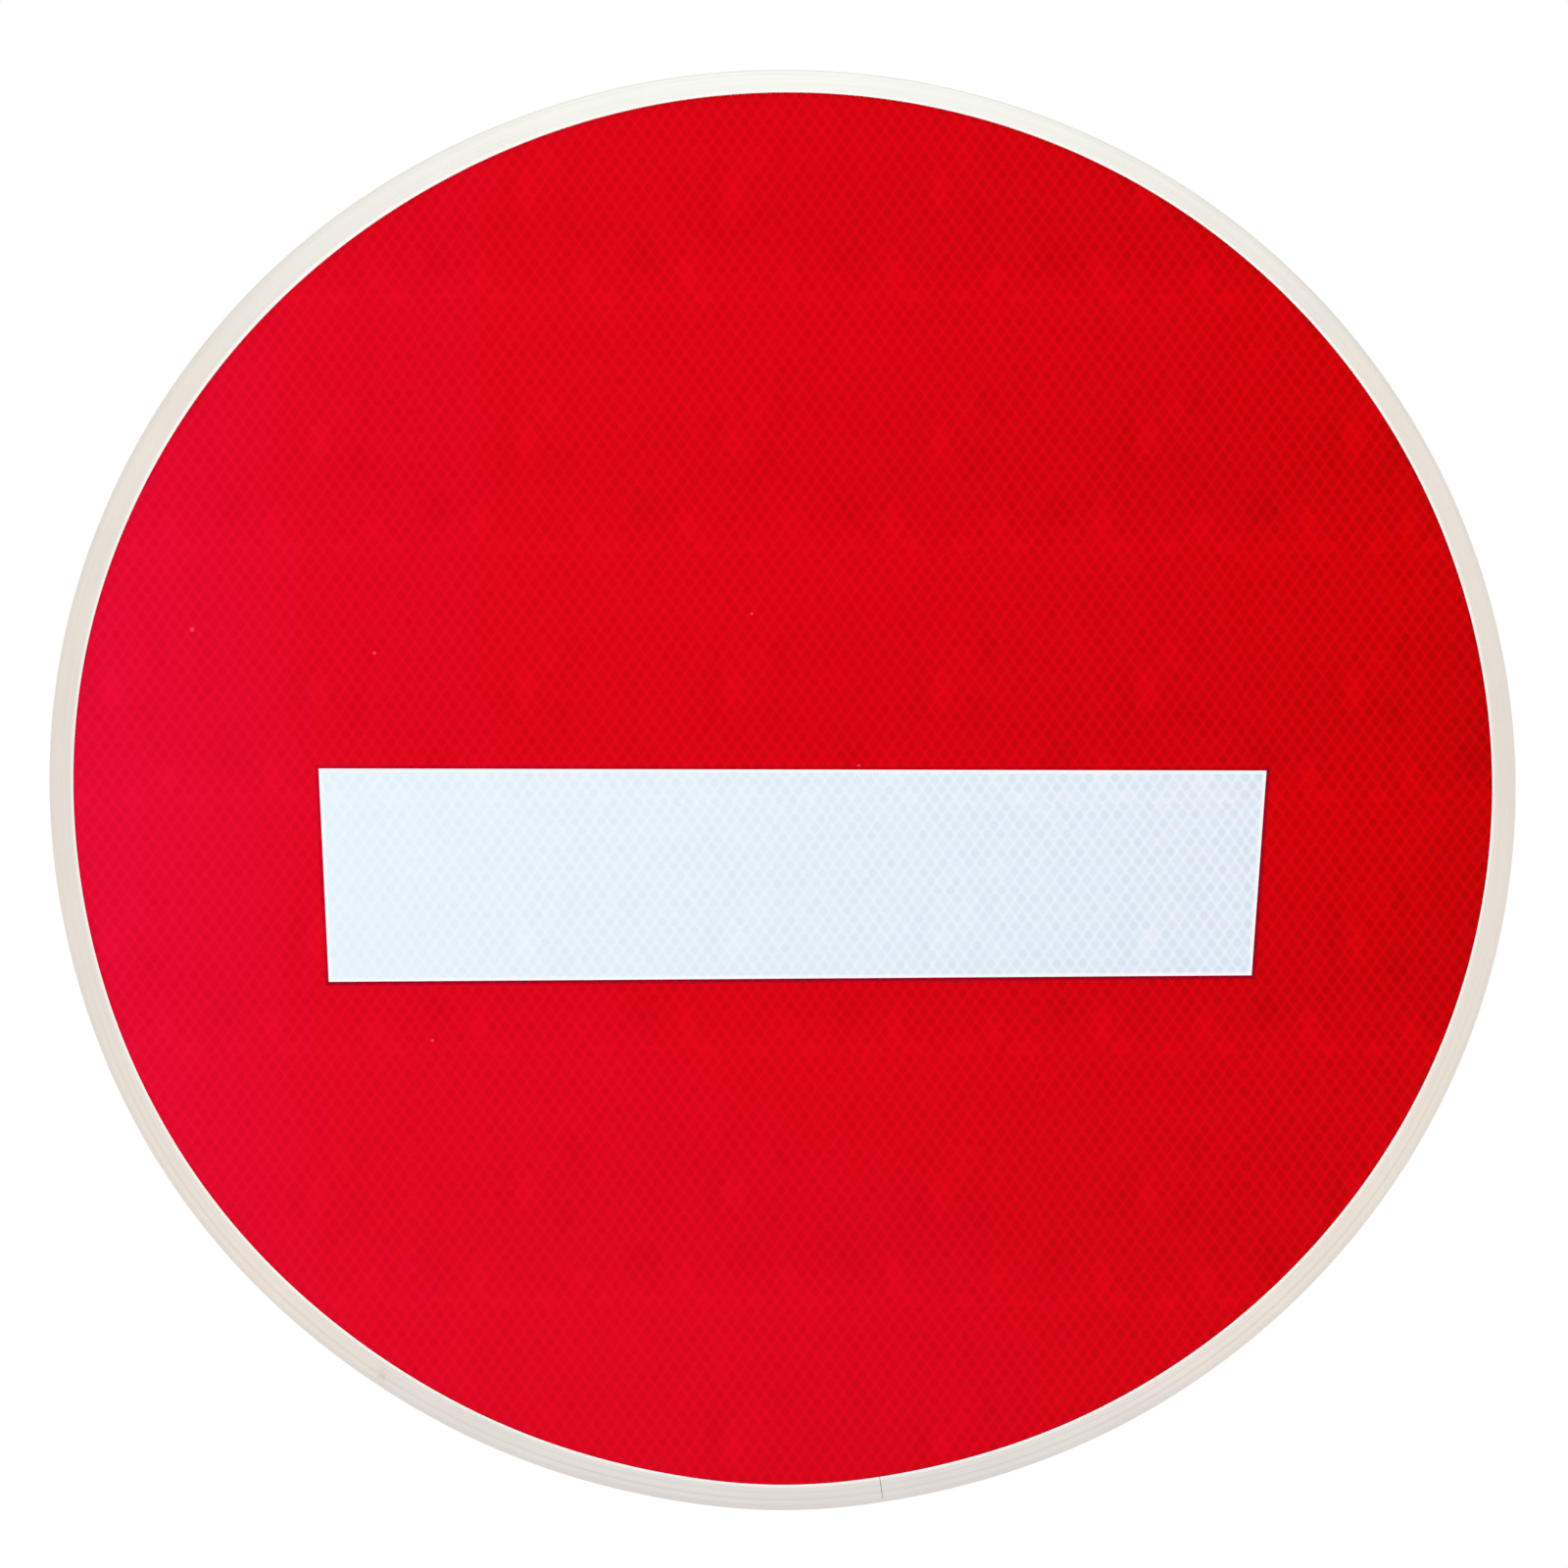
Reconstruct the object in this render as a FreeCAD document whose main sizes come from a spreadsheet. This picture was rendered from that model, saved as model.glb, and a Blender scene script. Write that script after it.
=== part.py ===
"""No entry sign: a round aluminium plate with a red reflective face, a white bar and a bent metal rim.

Every piece is drawn as the sign is seen from the front: X to the right, Y up and Z towards the viewer,
with Z = 0 where the backs of the two rails meet the post. Its Placement then stands it up, so that in the
finished part the face looks along -Y, +Z is up, and the origin is the sign's centre on the post's side.
"""
import FreeCAD
import Part
import Sketcher
import math
import os
import re

# The driving dimensions, in millimetres and degrees
SIZES = [
    ("sign_diameter", 600, "over the rim"),
    ("plate_thick", 2.0, "aluminium sheet"),
    ("plate_edge_play", 1.0, "from the plate's edge to the bottom of the rim's groove"),
    ("face_film_thick", 0.4, "red reflective film"),
    ("face_film_inset", 0.5, "the film is trimmed this much short of the plate's edge"),
    ("bar_film_thick", 0.35, "white reflective film, laid over the red one"),
    ("bar_top_left_across", -189.8, "to the right of the sign's centre, as for each corner"),
    ("bar_top_left_up", 7.1, "upward"),
    ("bar_top_right_across", 197.1, "to the right"),
    ("bar_top_right_up", 6.2, "upward"),
    ("bar_low_right_across", 190.8, "to the right"),
    ("bar_low_right_up", -78.9, "upward"),
    ("bar_low_left_across", -185.4, "to the right"),
    ("bar_low_left_up", -81.6, "upward"),
    ("rim_front_width", 9.8, "leg that shows round the face"),
    ("rim_front_thick", 1.4, "of the same leg at its inner edge"),
    ("rim_front_drop", 0.5, "the same leg slopes back this much toward the outside"),
    ("rim_wall_thick", 1.4, "round the outside"),
    ("rim_nose_radius", 2.0, "outer front corner, drawn as a few flats"),
    ("rim_edge_bevel", 0.4, "inner edge of the front leg"),
    ("rim_back_width", 12.0, "leg behind the plate, measured from the outside"),
    ("rim_back_thick", 1.2, "of the same leg"),
    ("groove_play", 0.1, "between the film and the rim's front leg"),
    ("joint_angle", 7.75, "from the lowest point round to where the rim's ends meet"),
    ("joint_gap", 0.4, "between the rim's two ends"),
    ("splice_length", 60.0, "curved strip behind the rim, across the joint"),
    ("splice_width", 8.0, "of the strip"),
    ("splice_thick", 1.5, "of the strip"),
    ("splice_edge_distance", 2.5, "from the outside of the rim to the strip"),
    ("screw_diameter", 3.0, "of the splice's screws"),
    ("screw_hole_play", 0.2, "round the screw in the strip and the rim"),
    ("screw_thread_play", 0.05, "round the screw in the plate"),
    ("screw_bite", 1.4, "how far the screw goes into the plate"),
    ("screw_tip_play", 0.1, "between its tip and the bottom of the hole"),
    ("screw_pitch", 36.0, "along the rim, with the joint midway"),
    ("screw_head_diameter", 6.0, "pan head"),
    ("screw_head_height", 2.0, "behind the strip"),
    ("screw_socket_width", 2.5, "across the flats"),
    ("screw_socket_depth", 1.2, "into the head"),
    ("rail_inset", 150.0, "from the outside of the rim to the middle of the nearer rail"),
    ("rail_end_clearance", 19.0, "from a rail's outer corners to the rim"),
    ("rail_depth", 15.0, "from the plate to the post"),
    ("rail_base_width", 60.0, "over both riveted flanges"),
    ("rail_base_thick", 2.5, "flanges, and the channel's floor"),
    ("rail_channel_width", 28.0, "over its two walls"),
    ("rail_wall_thick", 2.25, "side walls"),
    ("rail_lip_thick", 2.25, "lips that hold the bolt's head"),
    ("rail_slot_width", 12.0, "for the neck of a hammer-head bolt"),
    ("rail_outer_radius", 1.2, "lengthwise corners outside"),
    ("rail_inner_radius", 0.8, "lengthwise corners inside"),
    ("rivet_diameter", 4.8, "of its hole"),
    ("rivet_play", 0.05, "round the rivet"),
    ("rivet_cone_diameter", 9.0, "countersunk head, flush with the plate"),
    ("rivet_cone_angle", 120.0, "of that head, from side to side"),
    ("rivet_tail_diameter", 8.0, "head formed on the rail"),
    ("rivet_tail_height", 2.4, "behind the rail's flange"),
    ("rivet_end_distance", 35.0, "from a rail's end to its last rivet"),
]
RIVETS_PER_ROW = 2
SPLICE_SCREWS = 2
NOSE_FLATS = 3

doc = FreeCAD.newDocument("NoEntrySign")
sheet = doc.addObject("Spreadsheet::Sheet", "Sizes")
for row, (alias, number, meaning) in enumerate(SIZES, start=1):
    sheet.set("A%d" % row, alias)
    sheet.set("B%d" % row, str(number))
    sheet.set("C%d" % row, meaning)
    sheet.setAlias("B%d" % row, alias)
doc.recompute()

ALIAS = re.compile(r"\b(%s)\b" % "|".join(alias for alias, number, meaning in SIZES))


def formula(words):
    """Turns plain size names into references to the sheet."""
    return ALIAS.sub(r"Sizes.\1", words)


def value(words):
    return float(sheet.evalExpression(formula(words)))


def bind(thing, place, words):
    thing.setExpression(place, formula(words))


# Distances that several pieces share, worked out from the sizes
SIGN_RADIUS = "(sign_diameter / 2)"
PLATE_FRONT = "(rail_depth + plate_thick)"
FACE_FRONT = "(rail_depth + plate_thick + face_film_thick)"
RIM_FRONT = "(rail_depth + plate_thick + face_film_thick + groove_play + rim_front_thick)"
RIM_BACK = "(rail_depth - rim_back_thick)"
STRIP_BACK = "(rail_depth - rim_back_thick - splice_thick)"
PLATE_RADIUS = "(sign_diameter / 2 - rim_wall_thick - plate_edge_play)"
SCREW_CIRCLE = "(sign_diameter / 2 - splice_edge_distance - splice_width / 2)"
SCREW_STEP = "(screw_pitch / %s * 180 / pi)" % SCREW_CIRCLE
RAIL_HEIGHT = "(sign_diameter / 2 - rail_inset)"
RAIL_REACH = "(sign_diameter / 2 - rim_back_width - rail_end_clearance)"
RAIL_LENGTH = "(2 * sqrt(%s ^ 2 - (%s + rail_base_width / 2) ^ 2))" % (RAIL_REACH, RAIL_HEIGHT)
RIVET_ROW = "((rail_channel_width + rail_base_width) / 4)"
RIVET_PITCH = "((%s - 2 * rivet_end_distance) / %d)" % (RAIL_LENGTH, RIVETS_PER_ROW - 1)
CONE_HEIGHT = "((rivet_cone_diameter - rivet_diameter) / 2 / tan(rivet_cone_angle / 2 * 1 deg))"


def new_body(label, forward="0", upward="0"):
    """Starts a piece. It is drawn flat, stood up, and moved forward from the post and upward."""
    body = doc.addObject("PartDesign::Body", label)
    body.Label = label
    body.Placement = FreeCAD.Placement(FreeCAD.Vector(), FreeCAD.Rotation(FreeCAD.Vector(1, 0, 0), 90))
    bind(body, "Placement.Base.y", "-(%s)" % forward)
    bind(body, "Placement.Base.z", upward)
    return body


def origin_part(body, role):
    return next(feature for feature in body.Origin.OriginFeatures if feature.Role == role)


def new_sketch(body, name, plane, turn=None):
    """Starts a sketch on one of the body's origin planes, turned about the body's Z axis if asked."""
    sketch = body.newObject("Sketcher::SketchObject", name)
    sketch.AttachmentSupport = [(origin_part(body, plane), "")]
    sketch.MapMode = "FlatFace"
    if turn is not None:
        own_axis = FreeCAD.Vector(0, 0, 1) if plane == "XY_Plane" else FreeCAD.Vector(0, 1, 0)
        sketch.AttachmentOffset = FreeCAD.Placement(FreeCAD.Vector(), FreeCAD.Rotation(own_axis, 1))
        bind(sketch, "AttachmentOffset.Rotation.Angle", turn)
    return sketch


def close(first, second):
    return abs(first - second) < 1e-4


def pin_point(sketch, element, point, across, up):
    """Ties a point of the sketch to its distances from the sketch's origin."""
    for kind, words in (("DistanceX", across), ("DistanceY", up)):
        constraint = Sketcher.Constraint(kind, -1, 1, element, point, value(words))
        index = sketch.addConstraint(constraint)
        bind(sketch, "Constraints[%d]" % index, words)


def corner_rounding(points, index, radius):
    """Where an arc of this radius leaves one side, its middle, and where it meets the next side."""
    corner = points[index]
    backward = (points[index - 1] - corner).normalize()
    onward = (points[(index + 1) % len(points)] - corner).normalize()
    half_angle = backward.getAngle(onward) / 2
    inward = (backward + onward).normalize()
    reach = radius / math.tan(half_angle)
    middle = corner + inward * (radius / math.sin(half_angle) - radius)
    return corner + backward * reach, middle, corner + onward * reach


def draw_outline(sketch, corners):
    """Draws straight sides through the corners, each two distances and, to round it, a radius."""
    points = [FreeCAD.Vector(value(corner[0]), value(corner[1]), 0) for corner in corners]
    count = len(points)
    arcs = {index: corner_rounding(points, index, value(corner[2]))
            for index, corner in enumerate(corners) if len(corner) > 2}
    for index, point in enumerate(points):
        following = (index + 1) % count
        start = arcs[index][2] if index in arcs else point
        end = arcs[following][0] if following in arcs else points[following]
        sketch.addGeometry(Part.LineSegment(start, end), False)
    for index, corner in enumerate(corners):
        before = (index - 1) % count
        if index not in arcs:
            sketch.addConstraint(Sketcher.Constraint("Coincident", before, 2, index, 1))
            pin_point(sketch, index, 1, corner[0], corner[1])
            continue
        arc = sketch.addGeometry(Part.Arc(*arcs[index]), False)
        forward = close(sketch.getPoint(arc, 1).distanceToPoint(arcs[index][0]), 0)
        sketch.addConstraint(Sketcher.Constraint("Tangent", before, 2, arc, 1 if forward else 2))
        sketch.addConstraint(Sketcher.Constraint("Tangent", index, 1, arc, 2 if forward else 1))
        rounding = sketch.addConstraint(Sketcher.Constraint("Radius", arc, value(corner[2])))
        bind(sketch, "Constraints[%d]" % rounding, corner[2])
        tip = sketch.addGeometry(Part.Point(points[index]), True)
        sketch.addConstraint(Sketcher.Constraint("PointOnObject", tip, 1, before))
        sketch.addConstraint(Sketcher.Constraint("PointOnObject", tip, 1, index))
        pin_point(sketch, tip, 1, corner[0], corner[1])


def draw_circles(sketch, places, diameter):
    for index, (across, up) in enumerate(places):
        middle = FreeCAD.Vector(value(across), value(up), 0)
        sketch.addGeometry(Part.Circle(middle, FreeCAD.Vector(0, 0, 1), value(diameter) / 2), False)
        pin_point(sketch, index, 3, across, up)
        if index == 0:
            first = sketch.addConstraint(Sketcher.Constraint("Diameter", 0, value(diameter)))
            bind(sketch, "Constraints[%d]" % first, diameter)
        else:
            sketch.addConstraint(Sketcher.Constraint("Equal", 0, index))


def draw_hexagons(sketch, places, width):
    """Draws a six-sided outline round each place, with its corners on one circle."""
    corner_radius = "(%s / 2 / cos(30 deg))" % width
    for number, (across, up) in enumerate(places):
        corners = [("%s + %s * cos(%d deg)" % (across, corner_radius, angle),
                    "%s + %s * sin(%d deg)" % (up, corner_radius, angle)) for angle in range(0, 360, 60)]
        points = [FreeCAD.Vector(value(right), value(top), 0) for right, top in corners]
        first = number * len(corners)
        for index, start in enumerate(points):
            sketch.addGeometry(Part.LineSegment(start, points[(index + 1) % len(points)]), False)
        for index, (right, top) in enumerate(corners):
            following = first + (index + 1) % len(corners)
            sketch.addConstraint(Sketcher.Constraint("Coincident", first + index, 2, following, 1))
            pin_point(sketch, first + index, 1, right, top)


def pad(body, name, sketch, length, backward=False):
    feature = body.newObject("PartDesign::Pad", name)
    feature.Profile = sketch
    bind(feature, "Length", length)
    feature.Reversed = backward
    return feature


def revolve(body, name, sketch, angle="360"):
    """Turns a section about its sketch's upright axis, half of the angle to each side."""
    feature = body.newObject("PartDesign::Revolution", name)
    feature.Profile = sketch
    feature.ReferenceAxis = (sketch, ["V_Axis"])
    feature.Midplane = True
    bind(feature, "Angle", angle)
    return feature


def cut(body, name, sketch, depth=None, forward=False):
    """Cuts a sketch into the body, all the way through where no depth is given."""
    doc.recompute()
    before = body.Shape.Volume
    feature = body.newObject("PartDesign::Pocket", name)
    feature.Profile = sketch
    feature.Reversed = forward
    if depth is None:
        feature.Type = "ThroughAll"
    else:
        bind(feature, "Length", depth)
    doc.recompute()
    if not body.Shape.Volume < before:
        raise RuntimeError("%s cuts nothing" % name)
    return feature


def rivet_places(rows):
    """Rivet centres, as distances from the middle of the rows' own origin."""
    steps = [index - (RIVETS_PER_ROW - 1) / 2 for index in range(RIVETS_PER_ROW)]
    return [("%s * %s" % (step, RIVET_PITCH), row) for row in rows for step in steps]


# Plate: a sheet disc with countersunk holes, drawn with its front at Z = 0
plate = new_body("sign_plate", forward=PLATE_FRONT)
disc = new_sketch(plate, "PlateDisc", "XY_Plane")
draw_circles(disc, [("0", "0")], "2 * " + PLATE_RADIUS)
pad(plate, "PlateSheet", disc, "plate_thick", backward=True)
plate_holes = new_sketch(plate, "PlateRivetPlaces", "XY_Plane")
plate_rows = ["%s%s %s %s" % (rail, RAIL_HEIGHT, side, RIVET_ROW) for rail in ("", "-") for side in "+-"]
draw_circles(plate_holes, rivet_places(plate_rows), "rivet_diameter")
doc.recompute()
hole = plate.newObject("PartDesign::Hole", "PlateRivetHoles")
hole.Profile = plate_holes
hole.DepthType = "ThroughAll"
bind(hole, "Diameter", "rivet_diameter")
hole.HoleCutType = "Countersink"
bind(hole, "HoleCutDiameter", "rivet_cone_diameter")
bind(hole, "HoleCutCountersinkAngle", "rivet_cone_angle")

# The joint's screws stand on one circle, the same in the plate, the rim, the strip and the screws
screw_steps = [index - (SPLICE_SCREWS - 1) / 2 for index in range(SPLICE_SCREWS)]
screw_places = [("%s * sin(%s * %s * 1 deg)" % (SCREW_CIRCLE, step, SCREW_STEP),
                 "-%s * cos(%s * %s * 1 deg)" % (SCREW_CIRCLE, step, SCREW_STEP)) for step in screw_steps]
pilots = new_sketch(plate, "PlateScrewPlaces", "XY_Plane", turn="joint_angle")
bind(pilots, "AttachmentOffset.Base.z", "-plate_thick")
draw_circles(pilots, screw_places, "screw_diameter + 2 * screw_thread_play")
cut(plate, "PlateScrewHoles", pilots, depth="screw_bite + screw_tip_play", forward=True)

# Red film: covers the plate and the rivet heads, and runs under the rim's front leg
red_film = new_body("red_sheeting", forward=PLATE_FRONT)
red_disc = new_sketch(red_film, "RedDisc", "XY_Plane")
draw_circles(red_disc, [("0", "0")], "2 * (%s - face_film_inset)" % PLATE_RADIUS)
pad(red_film, "RedFilm", red_disc, "face_film_thick")

# White film: the bar, slightly narrower at its foot
bar_film = new_body("bar_sheeting", forward=FACE_FRONT)
bar_outline = new_sketch(bar_film, "BarOutline", "XY_Plane")
bar_corners = ("bar_top_left", "bar_top_right", "bar_low_right", "bar_low_left")
draw_outline(bar_outline, [(corner + "_across", corner + "_up") for corner in bar_corners])
pad(bar_film, "BarFilm", bar_outline, "bar_film_thick")

# Rim: a channel bent to a ring round the plate's edge, whose two ends butt together low on the right
rim = new_body("edge_profile")
rim_section = new_sketch(rim, "RimSection", "XZ_Plane", turn="90 + joint_angle")
wall_inside = SIGN_RADIUS + " - rim_wall_thick"
front_end = SIGN_RADIUS + " - rim_front_width"
back_end = SIGN_RADIUS + " - rim_back_width"
groove_front = RIM_FRONT + " - rim_front_thick"
nose_turns = ["%s deg" % (90 - 90 * step / NOSE_FLATS) for step in range(NOSE_FLATS + 1)]
nose = [("%s - rim_nose_radius * (1 - cos(%s))" % (SIGN_RADIUS, turn),
         "%s - rim_front_drop - rim_nose_radius * (1 - sin(%s))" % (RIM_FRONT, turn)) for turn in nose_turns]
draw_outline(rim_section, [
    (front_end, RIM_FRONT + " - rim_edge_bevel"),
    (front_end + " + rim_edge_bevel", RIM_FRONT),
] + nose + [
    (SIGN_RADIUS, RIM_BACK),
    (back_end, RIM_BACK),
    (back_end, "rail_depth"),
    (wall_inside, "rail_depth"),
    (wall_inside, groove_front),
    (front_end, groove_front),
])
rim_arc = "360 - joint_gap / %s * 180 / pi" % SIGN_RADIUS
revolve(rim, "RimRing", rim_section, rim_arc)

rim_holes = new_sketch(rim, "RimScrewPlaces", "XY_Plane", turn="joint_angle")
bind(rim_holes, "AttachmentOffset.Base.z", "rail_depth")
draw_circles(rim_holes, screw_places, "screw_diameter + 2 * screw_hole_play")
cut(rim, "RimScrewHoles", rim_holes)

# Splice: a flat curved strip that lies on the rim's back leg and bridges the joint
splice = new_body("joint_splice")
splice_section = new_sketch(splice, "SpliceSection", "XZ_Plane", turn="joint_angle - 90")
splice_outside = SIGN_RADIUS + " - splice_edge_distance"
splice_inside = splice_outside + " - splice_width"
draw_outline(splice_section, [
    (splice_inside, STRIP_BACK),
    (splice_outside, STRIP_BACK),
    (splice_outside, RIM_BACK),
    (splice_inside, RIM_BACK),
])
revolve(splice, "SpliceBar", splice_section, "splice_length / %s * 180 / pi" % SCREW_CIRCLE)
splice_holes = new_sketch(splice, "SpliceScrewPlaces", "XY_Plane", turn="joint_angle")
draw_circles(splice_holes, screw_places, "screw_diameter + 2 * screw_hole_play")
cut(splice, "SpliceScrewHoles", splice_holes, forward=True)

# Splice screws: pan heads behind the strip, with a hexagon socket, and shanks that bite in the plate
screws = new_body("splice_screws", forward=STRIP_BACK)
shanks = new_sketch(screws, "ShankPlaces", "XY_Plane", turn="joint_angle")
draw_circles(shanks, screw_places, "screw_diameter")
pad(screws, "Shanks", shanks, "splice_thick + rim_back_thick + screw_bite")
heads = new_sketch(screws, "HeadPlaces", "XY_Plane", turn="joint_angle")
draw_circles(heads, screw_places, "screw_head_diameter")
pad(screws, "Heads", heads, "screw_head_height", backward=True)
sockets = new_sketch(screws, "SocketPlaces", "XY_Plane", turn="joint_angle")
bind(sockets, "AttachmentOffset.Base.z", "-screw_head_height")
draw_hexagons(sockets, screw_places, "screw_socket_width")
cut(screws, "HeadSockets", sockets, depth="screw_socket_depth", forward=True)


def rail_outline():
    """The rail's section: flanges on the plate, and a channel whose lips leave a slot."""
    base_side = "rail_base_width / 2"
    channel_side = "rail_channel_width / 2"
    channel_inside = "(rail_channel_width / 2 - rail_wall_thick)"
    slot_side = "rail_slot_width / 2"
    base_back = "rail_depth - rail_base_thick"
    outside = [(slot_side, "0"), (channel_side, "0", "rail_outer_radius"),
               (channel_side, base_back, "rail_outer_radius"), (base_side, base_back),
               (base_side, "rail_depth")]
    inside = [(channel_inside, base_back, "rail_inner_radius"),
              (channel_inside, "rail_lip_thick", "rail_inner_radius"), (slot_side, "rail_lip_thick")]
    mirrored = [("-" + corner[0],) + corner[1:] for corner in outside[::-1] + inside[::-1]]
    return outside + mirrored + inside


def make_rail(label, upward):
    """A length of extruded channel, with holes for the rivets through its two flanges."""
    rail = new_body(label, upward=upward)
    section = new_sketch(rail, label + "_section", "YZ_Plane")
    draw_outline(section, rail_outline())
    length = pad(rail, label + "_length", section, RAIL_LENGTH)
    length.Midplane = True
    holes = new_sketch(rail, label + "_rivet_places", "XY_Plane")
    draw_circles(holes, rivet_places([RIVET_ROW, "-" + RIVET_ROW]), "rivet_diameter")
    cut(rail, label + "_rivet_holes", holes, forward=True)


def make_rivets(label, upward):
    """Solid rivets: a countersunk head flush with the plate, and a head formed on the rail's flange."""
    rivets = new_body(label, forward=PLATE_FRONT, upward=upward)
    section = new_sketch(rivets, label + "_section", "XZ_Plane")
    bind(section, "AttachmentOffset.Base.x", "rivet_end_distance - %s / 2" % RAIL_LENGTH)
    bind(section, "AttachmentOffset.Base.z", RIVET_ROW)
    shank = "rivet_diameter / 2 - rivet_play"
    grip = "-(plate_thick + rail_base_thick)"
    tail_end = grip + " - rivet_tail_height"
    draw_outline(section, [
        ("0", "0"),
        ("rivet_cone_diameter / 2 - rivet_play", "0"),
        (shank, "-" + CONE_HEIGHT),
        (shank, grip),
        ("rivet_tail_diameter / 2", grip),
        ("rivet_tail_diameter / 2", tail_end),
        ("0", tail_end),
    ])
    revolve(rivets, label + "_turned", section)
    grid = rivets.newObject("PartDesign::LinearPattern", label + "_grid")
    grid.Originals = [rivets.Tip]
    grid.TransformMode = "Whole shape"
    grid.Direction = (origin_part(rivets, "X_Axis"), [""])
    grid.Occurrences = RIVETS_PER_ROW
    bind(grid, "Length", "%s - 2 * rivet_end_distance" % RAIL_LENGTH)
    grid.Direction2 = (origin_part(rivets, "Y_Axis"), [""])
    grid.Occurrences2 = 2
    bind(grid, "Length2", "2 * " + RIVET_ROW)
    rivets.Tip = grid


# Rails and their rivets: two alike, one above and one below the middle
for name, height in (("upper_rail", RAIL_HEIGHT), ("lower_rail", "-" + RAIL_HEIGHT)):
    make_rail(name, height)
    make_rivets(name + "_rivets", height)

doc.recompute()

# Every object has to be sound before anything is written
for thing in doc.Objects:
    if "Invalid" in thing.State or "Error" in thing.State:
        raise RuntimeError("%s failed: %s" % (thing.Label, thing.State))
pieces = [thing for thing in doc.Objects if thing.TypeId == "PartDesign::Body"]
for piece in pieces:
    if piece.Shape.isNull() or not piece.Shape.isValid():
        raise RuntimeError("%s has no sound shape" % piece.Label)
os.makedirs("parts", exist_ok=True)
for piece in pieces:
    piece.Shape.exportStep("parts/%s.step" % piece.Label)
    print("%s: %d solid(s), %.1f mm3" % (piece.Label, len(piece.Shape.Solids), piece.Shape.Volume))
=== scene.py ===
"""No entry sign: the looks of each piece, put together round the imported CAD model.

Lengths on the sign are written in millimetres, and MM turns them into Blender's metres. The lamp and the
camera are placed in metres. X is to the right as the face is seen, Z is up, and Y runs back from the face to
the post.
"""
import math

import bmesh
import bpy
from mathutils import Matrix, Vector


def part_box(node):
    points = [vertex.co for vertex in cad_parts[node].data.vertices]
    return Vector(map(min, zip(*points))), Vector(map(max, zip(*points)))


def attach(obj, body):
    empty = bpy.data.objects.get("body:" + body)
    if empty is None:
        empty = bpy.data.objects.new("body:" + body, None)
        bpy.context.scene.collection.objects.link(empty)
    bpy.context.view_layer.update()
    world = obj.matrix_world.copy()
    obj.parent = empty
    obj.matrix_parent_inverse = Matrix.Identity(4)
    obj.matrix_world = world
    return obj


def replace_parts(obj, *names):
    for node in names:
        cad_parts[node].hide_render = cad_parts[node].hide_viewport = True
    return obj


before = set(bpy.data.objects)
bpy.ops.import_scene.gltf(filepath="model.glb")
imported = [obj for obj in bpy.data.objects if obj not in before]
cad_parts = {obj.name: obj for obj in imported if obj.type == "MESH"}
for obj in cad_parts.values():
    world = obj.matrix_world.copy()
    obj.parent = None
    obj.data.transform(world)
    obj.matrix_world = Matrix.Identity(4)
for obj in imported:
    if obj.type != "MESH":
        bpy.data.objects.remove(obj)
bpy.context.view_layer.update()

# The plate is a disc of rolled aluminium sheet, bare on its back. It carries the films in front and the rails
# behind, and its edge sits in the rim's groove, so only its back can be seen.
MM = 0.001


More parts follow.
